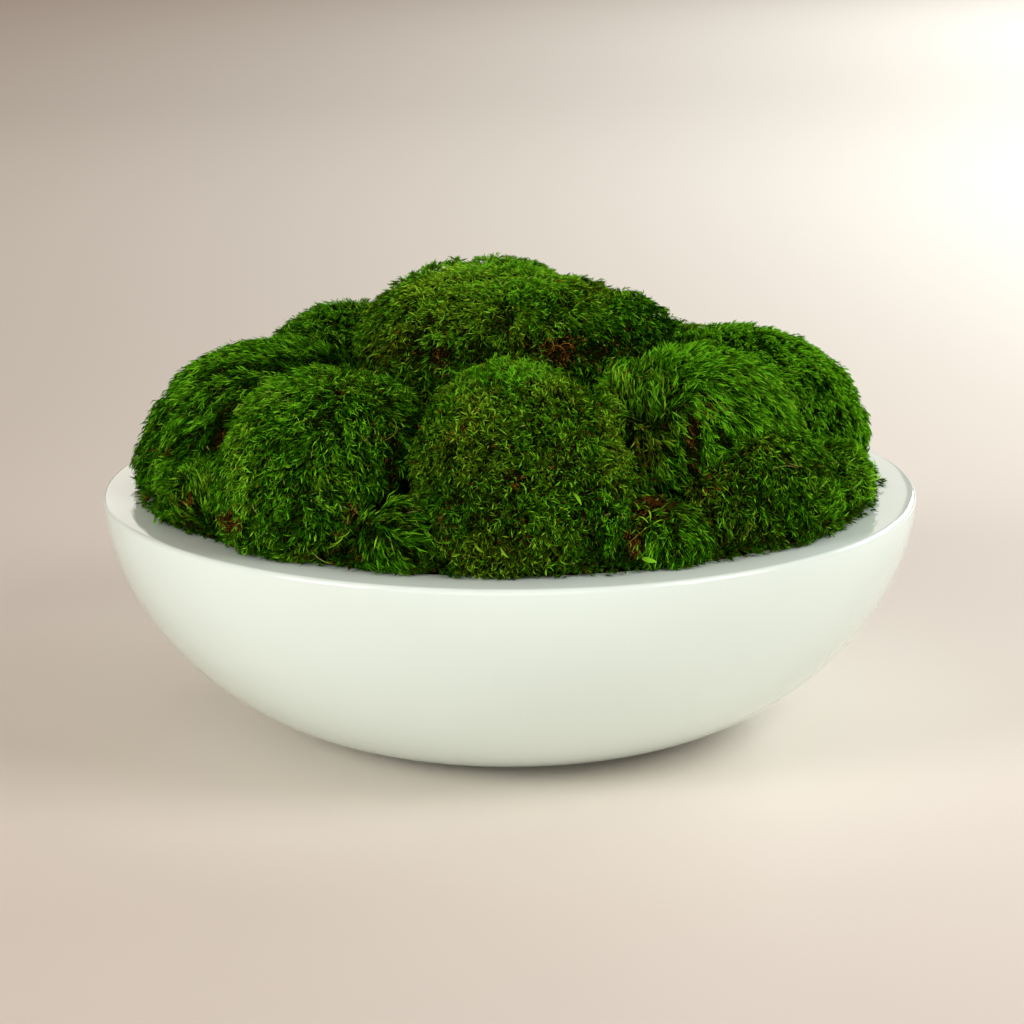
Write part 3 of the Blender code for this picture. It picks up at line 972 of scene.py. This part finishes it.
def under_layer(cushion, count):
    """Short dark leaves in all directions, which fill the gaps between the shoots; their dark tone
    is painted shade deep in the foliage.
    """
    surface, up, pick = cushion.sample(count)
    litter, tone_and_painted_light_mark, hue_mark, _ = marked(cushion, surface, up, np.zeros(count))
    way = unit(up * 0.8 + rng.normal(0, 0.6, (count, 3)) + 0.2 * DOWN)
    side = unit(np.cross(way, rng.normal(0, 1, (count, 3))))
    root = surface - up * (CORE_DEPTH + rng.uniform(-0.0010, 0.0004, count))[:, None]
    # Painted shade: a dark level deep in the foliage, darker still where less of the way out is
    # open.
    level = rng.normal(0.20, 0.14, count) + 0.2 * (cushion.free[pick] - 0.6) + tone_and_painted_light_mark
    tone = tone_of(level, cushion.look["hue"] + rng.normal(0, 0.25, count) + hue_mark)
    brown = rng.random(count) < cushion.look["brown"] + litter
    tone[brown] = rng.uniform(*DARK_RUST_TONES, brown.sum())
    length, width = rng.uniform(*UNDER_LENGTHS, count), rng.uniform(*UNDER_WIDTHS, count)
    low = np.full(count, 0.2)
    points, places = flat_leaves(root, way, side, length, width, tone, low, low + 0.6)
    return settle(points), places


def foot_fringe(count):
    """Low shoots along the foot of the heap, which lie out over the inner edge of the rim."""
    turn = rng.uniform(0, 2 * math.pi, count)
    out = np.stack([np.cos(turn), np.sin(turn), np.zeros(count)], 1)
    fine, wavy = patches(out * 0.22, 90, 5), patches(out * 0.22, 28, 9)
    away = FOOT_RADIUS + 0.004 * wavy + 0.003 * fine - 0.012 * rng.random(count) ** 0.8
    up = np.array([0, 0, 1.0])
    height = RIM_Z + 0.0005 + 0.35 * (FOOT_RADIUS - away) + rng.uniform(-0.001, 0.001, count)
    root = out * away[:, None] + up * height[:, None]
    lean = rng.normal(0, 0.6, (count, 1)) * np.cross(up, out)
    first = unit(out * 0.5 + up * rng.uniform(0.3, 1.0, (count, 1)) + lean)
    last = unit(out * 0.8 + up * rng.normal(-0.3, 0.3, (count, 1)) + lean)
    length = rng.uniform(*FOOT_LENGTHS, count)
    each = (count, STYLE["leaves"])
    # Painted shade: shoots further in under the heap are darker, on top of patchy tone.
    level = 0.32 + 0.25 * (away - FOOT_RADIUS + 0.006) / 0.006 * 0.5 + 0.15 * fine + 0.1 * wavy
    level = level[:, None] + rng.normal(0, 0.14, each)
    tone = tone_of(level, 0.45 + 0.4 * wavy[:, None] + rng.normal(0, 0.2, each))
    brown = rng.random(count) < 0.07 + 0.5 * np.clip(-wavy - 0.15, 0, 1)
    tone[brown] = rng.uniform(*FOOT_RUST_TONES, (brown.sum(), 1))
    leaf, spread = np.full(count, STYLE["leaf"]), np.full(count, FOOT_SPREAD)
    tone = np.clip(tone, *TONE_ENDS)
    points, places = feathers(root, first, last, length, leaf, spread, STYLE, tone)
    return settle(points), places


def make_moss():
    cushions = [Cushion(node, STYLE | change, i) for i, (node, change) in enumerate(STYLES.items())]
    weigh_cushions(cushions)
    leaf, core = leaf_material(), core_material()
    weights = np.array([c.weight.sum() * c.look["dense"] for c in cushions])
    for cushion, share in zip(cushions, weights / weights.sum()):
        plant_locks(cushion)
        mesh, inner = faceted(cushion.node, 1, cushion.index, CORE_DEPTH)[:2]
        mesh.vertices.foreach_set("co", inner.astype(np.float32).ravel())
        mesh.materials.clear()
        mesh.update()
        mesh.shade_smooth()
        mesh.name = cushion.node + "_core"
        link(mesh.name, mesh, core, cushion.node)
        parts = [
            shoots(cushion, int(SHOOT_TRIANGLES * share / cushion.look["leaves"])),
            blades(cushion, int(BLADE_TRIANGLES * share / 2)),
            under_layer(cushion, int(UNDER_TRIANGLES * share)),
        ]
        name = cushion.node + "_shoots"
        link(name, leaf_mesh(name, parts), leaf, None)
    link("single_strands", leaf_mesh("single_strands", strands(cushions)), leaf, None)
    fringe = leaf_mesh("moss_foot_shoots", [foot_fringe(FOOT_TRIANGLES // STYLE["leaves"])])
    link("moss_foot_shoots", fringe, leaf, None)


# Single strands and leaves seen from the camera: pixel place of the root in the frame, heading
# (0 to the right, 90 up), length, width, curl, and the tone, which is u on the palette.
STRAND_STEPS = 5
STRAND_SINK = 0.001
STRANDS = [
    (251, 498, -80, 0.012, 0.0004, 60, 0.17), (310, 550, -40, 0.018, 0.0004, 30, 0.19),
    (330, 545, 40, 0.011, 0.0011, 30, 0.96), (326, 549, 60, 0.010, 0.0011, -40, 0.90),
    (337, 538, 20, 0.010, 0.0010, 50, 0.93), (318, 556, 150, 0.009, 0.0009, 30, 0.88),
    (395, 432, 60, 0.010, 0.0004, 80, 0.92), (372, 428, 140, 0.009, 0.0004, -70, 0.88),
    (384, 440, 20, 0.014, 0.0003, 60, 0.16), (300, 425, 100, 0.009, 0.0004, 50, 0.92),
    (520, 482, -40, 0.009, 0.0005, -70, 0.72), (638, 462, 110, 0.011, 0.0003, 90, 0.16),
    (646, 470, 60, 0.012, 0.0003, 60, 0.15), (655, 447, 150, 0.011, 0.0003, -70, 0.17),
    (634, 436, -60, 0.011, 0.0007, 20, 0.13), (650, 520, 80, 0.008, 0.0008, 40, 0.95),
    (653, 524, 40, 0.007, 0.0008, -30, 0.92), (648, 522, 130, 0.007, 0.0008, 20, 0.96),
    (740, 538, 30, 0.013, 0.0004, 50, 0.17), (772, 470, 20, 0.016, 0.0003, -40, 0.18),
    (786, 462, -30, 0.012, 0.0004, 50, 0.17), (706, 392, -60, 0.018, 0.0004, 15, 0.72),
    (716, 400, -55, 0.018, 0.0003, -12, 0.18), (735, 412, -50, 0.018, 0.0004, 20, 0.70),
    (552, 350, 60, 0.009, 0.0004, 80, 0.135), (560, 345, 20, 0.010, 0.0004, -80, 0.13),
    (566, 352, 120, 0.009, 0.0004, 70, 0.14), (557, 340, 170, 0.009, 0.0003, 80, 0.13),
    (624, 548, 25, 0.022, 0.0003, 12, 0.15), (868, 482, 8, 0.013, 0.0013, 25, 0.72),
    (868, 478, 25, 0.011, 0.0011, -30, 0.72), (866, 488, -12, 0.011, 0.0011, 30, 0.71),
    (872, 470, 40, 0.010, 0.0011, 40, 0.72), (862, 500, -10, 0.011, 0.0011, 40, 0.70),
    (856, 455, 60, 0.011, 0.0011, 40, 0.71), (846, 470, 70, 0.011, 0.0011, -40, 0.71),
    (850, 490, 20, 0.011, 0.0011, 50, 0.71), (642, 558, -25, 0.009, 0.0030, 20, 0.70),
    (574, 492, -65, 0.009, 0.0020, 15, 0.70), (474, 544, -50, 0.007, 0.0018, 20, 0.90),
    (428, 527, -25, 0.007, 0.0018, 25, 0.90), (500, 548, -65, 0.008, 0.0016, 20, 0.92),
]


def strands(cushions):
    """Ribbons bent in a few steps, which stand on the heap where the camera sees their roots."""
    co = np.concatenate([cushion.co for cushion in cushions])
    starts = np.cumsum([0] + [len(cushion.co) for cushion in cushions[:-1]])
    quads = np.concatenate([cushion.quads + start for cushion, start in zip(cushions, starts)])
    heap = BVHTree.FromPolygons(co.tolist(), quads.tolist())
    ahead, above, right = Vector(-TO_CAMERA), Vector(ABOVE), Vector(RIGHT)
    steps = STRAND_STEPS
    parts = []
    for x, y, heading, length, width, curl, tone in STRANDS:
        aside, rise = (x - AXIS_PIXEL) / FOCAL_PIXELS, (FRAME_PIXELS / 2 - y) / FOCAL_PIXELS
        way = ahead + right * aside + above * rise
        place, out = heap.ray_cast(Vector(EYE), way.normalized())[:2]
        if place is None:
            continue
        point, turn = place - out * STRAND_SINK, math.radians(heading)
        rings, places = [], []
        for step in range(steps + 1):
            go = right * math.cos(turn) + above * math.sin(turn)
            go = (go - out * go.dot(out) + out * (0.7 - 0.25 * step)).normalized()
            slim = math.sin(math.pi * (0.15 + 0.80 * step / steps))
            half = go.cross(out).normalized() * width / 2 * slim
            rings.append((point - half, point + half))
            v = 0.5 + 0.09 * step
            places.append(((tone - 0.002, v), (tone + 0.002, v)))
            point = point + go * length / steps
            turn += math.radians(curl) / steps
        for step in range(steps):
            (a, b), (c, d) = rings[step], rings[step + 1]
            (p, q), (r, t) = places[step], places[step + 1]
            parts.append((np.array([[a, b, d], [a, d, c]]), np.array([[p, q, t], [p, t, r]])))
    return parts


# ---------------- studio


def add_softbox(name, place, aim, size, power, spread, colour):
    light = bpy.data.lights.new(name, "AREA")
    light.color = colour
    light.shape, light.size, light.size_y = "RECTANGLE", size[0], size[1]
    light.energy, light.spread = power, math.radians(spread)
    thing = add(name, light)
    thing.location = place
    thing.rotation_euler = (Vector(aim) - Vector(place)).to_track_quat("-Z", "Y").to_euler()


def make_studio():
    scene = bpy.context.scene
    half = FLOOR_HALF
    corners = [(-half, -half, 0), (half, -half, 0), (half, half, 0), (-half, half, 0)]
    floor_mesh = bpy.data.meshes.new("floor")
    floor_mesh.from_pydata(corners, [], [(0, 1, 2, 3)])
    floor_mesh.materials.append(shader("floor", FLOOR_COLOUR, 0.8, 0.2)[0])
    floor = add("floor", floor_mesh)

    world = bpy.data.worlds.new("studio")
    world.use_nodes = True
    background = world.node_tree.nodes["Background"]
    put(background, {"Color": WORLD_COLOUR, "Strength": WORLD_STRENGTH})
    scene.world = world
    for name, how in SOFTBOXES.items():
        add_softbox(name, *how)

    camera = bpy.data.cameras.new("camera")
    camera.sensor_width = SENSOR_WIDTH
    camera.lens = FOCAL_PIXELS / FRAME_PIXELS * camera.sensor_width
    camera.shift_x = (FRAME_PIXELS / 2 - AXIS_PIXEL) / FRAME_PIXELS
    camera.clip_end = CLIP_END
    thing = add("camera", camera)
    thing.matrix_world = (
        Matrix.Translation(EYE)
        @ Matrix.Rotation(math.pi / 2 - TILT, 4, "X")
        @ Matrix.Rotation(math.radians(ROLL), 4, "Z")
    )
    scene.camera = thing
    scene.view_settings.view_transform = "Standard"
    scene.view_settings.look = "None"


make_bowl()
make_soil()
make_moss()
make_studio()
